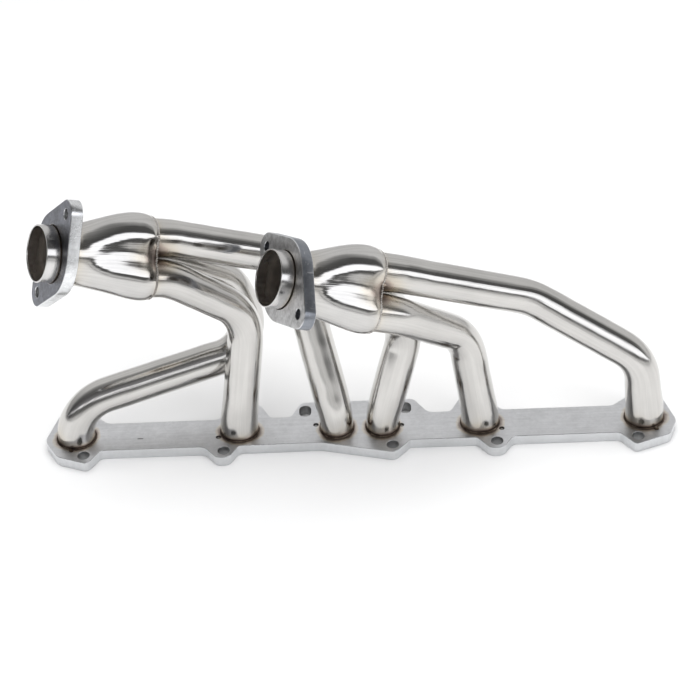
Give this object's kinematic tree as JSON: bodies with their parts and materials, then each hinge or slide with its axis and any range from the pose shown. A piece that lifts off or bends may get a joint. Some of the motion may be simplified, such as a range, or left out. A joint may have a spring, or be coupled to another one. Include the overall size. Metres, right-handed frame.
{
  "type": "exhaust manifold",
  "caption": "Tubular exhaust manifold: long head flange, bent primary tubes that merge in lobed collectors, and bolted outlet flanges with slip stubs.",
  "frame": {"origin": "centre of the head flange's mating face, on the web between the two middle ports", "axes": "+X along the head flange towards port 6, +Z out of the flange, along the tubes as they leave it, +Y so that the collectors' outlets turn towards -Y"},
  "size_m": [0.6729, 0.2075, 0.3302],
  "materials": {
    "head_flange_steel": "satin, bead-blasted face with machined edges",
    "polished_tube": "polished, with heat tint beside the welds",
    "polished_collector": "polished, with heat tint beside the welds",
    "outlet_stub_steel": "turned, bright lip and dark inside",
    "outlet_flange_steel": "scratched face with a bright rim",
    "port_weld_bead": "rippled, brown to black heat tint",
    "collector_weld_bead": "rippled, light brown heat tint"
  },
  "bodies": {
    "root": {"head_flange": "head_flange_steel", "primary_tube_1": "polished_tube", "primary_tube_2": "polished_tube", "primary_tube_3": "polished_tube", "primary_tube_4": "polished_tube", "primary_tube_5": "polished_tube", "primary_tube_6": "polished_tube", "collector_left": "polished_collector", "collector_right": "polished_collector", "outlet_stub_left": "outlet_stub_steel", "outlet_stub_right": "outlet_stub_steel", "outlet_flange_left": "outlet_flange_steel", "outlet_flange_right": "outlet_flange_steel", "port_weld_1": "port_weld_bead", "port_weld_2": "port_weld_bead", "port_weld_3": "port_weld_bead", "port_weld_4": "port_weld_bead", "port_weld_5": "port_weld_bead", "port_weld_6": "port_weld_bead", "collector_weld_left": "collector_weld_bead", "collector_weld_right": "collector_weld_bead", "outlet_weld_left": "collector_weld_bead", "outlet_weld_right": "collector_weld_bead", "merge_plug_left": "collector_weld_bead", "merge_plug_right": "collector_weld_bead", "valley_fill_left_1": "collector_weld_bead", "valley_fill_left_2": "collector_weld_bead", "valley_fill_left_3": "collector_weld_bead", "valley_fill_right_1": "collector_weld_bead", "valley_fill_right_2": "collector_weld_bead", "valley_fill_right_3": "collector_weld_bead"}
  },
  "joints": []
}
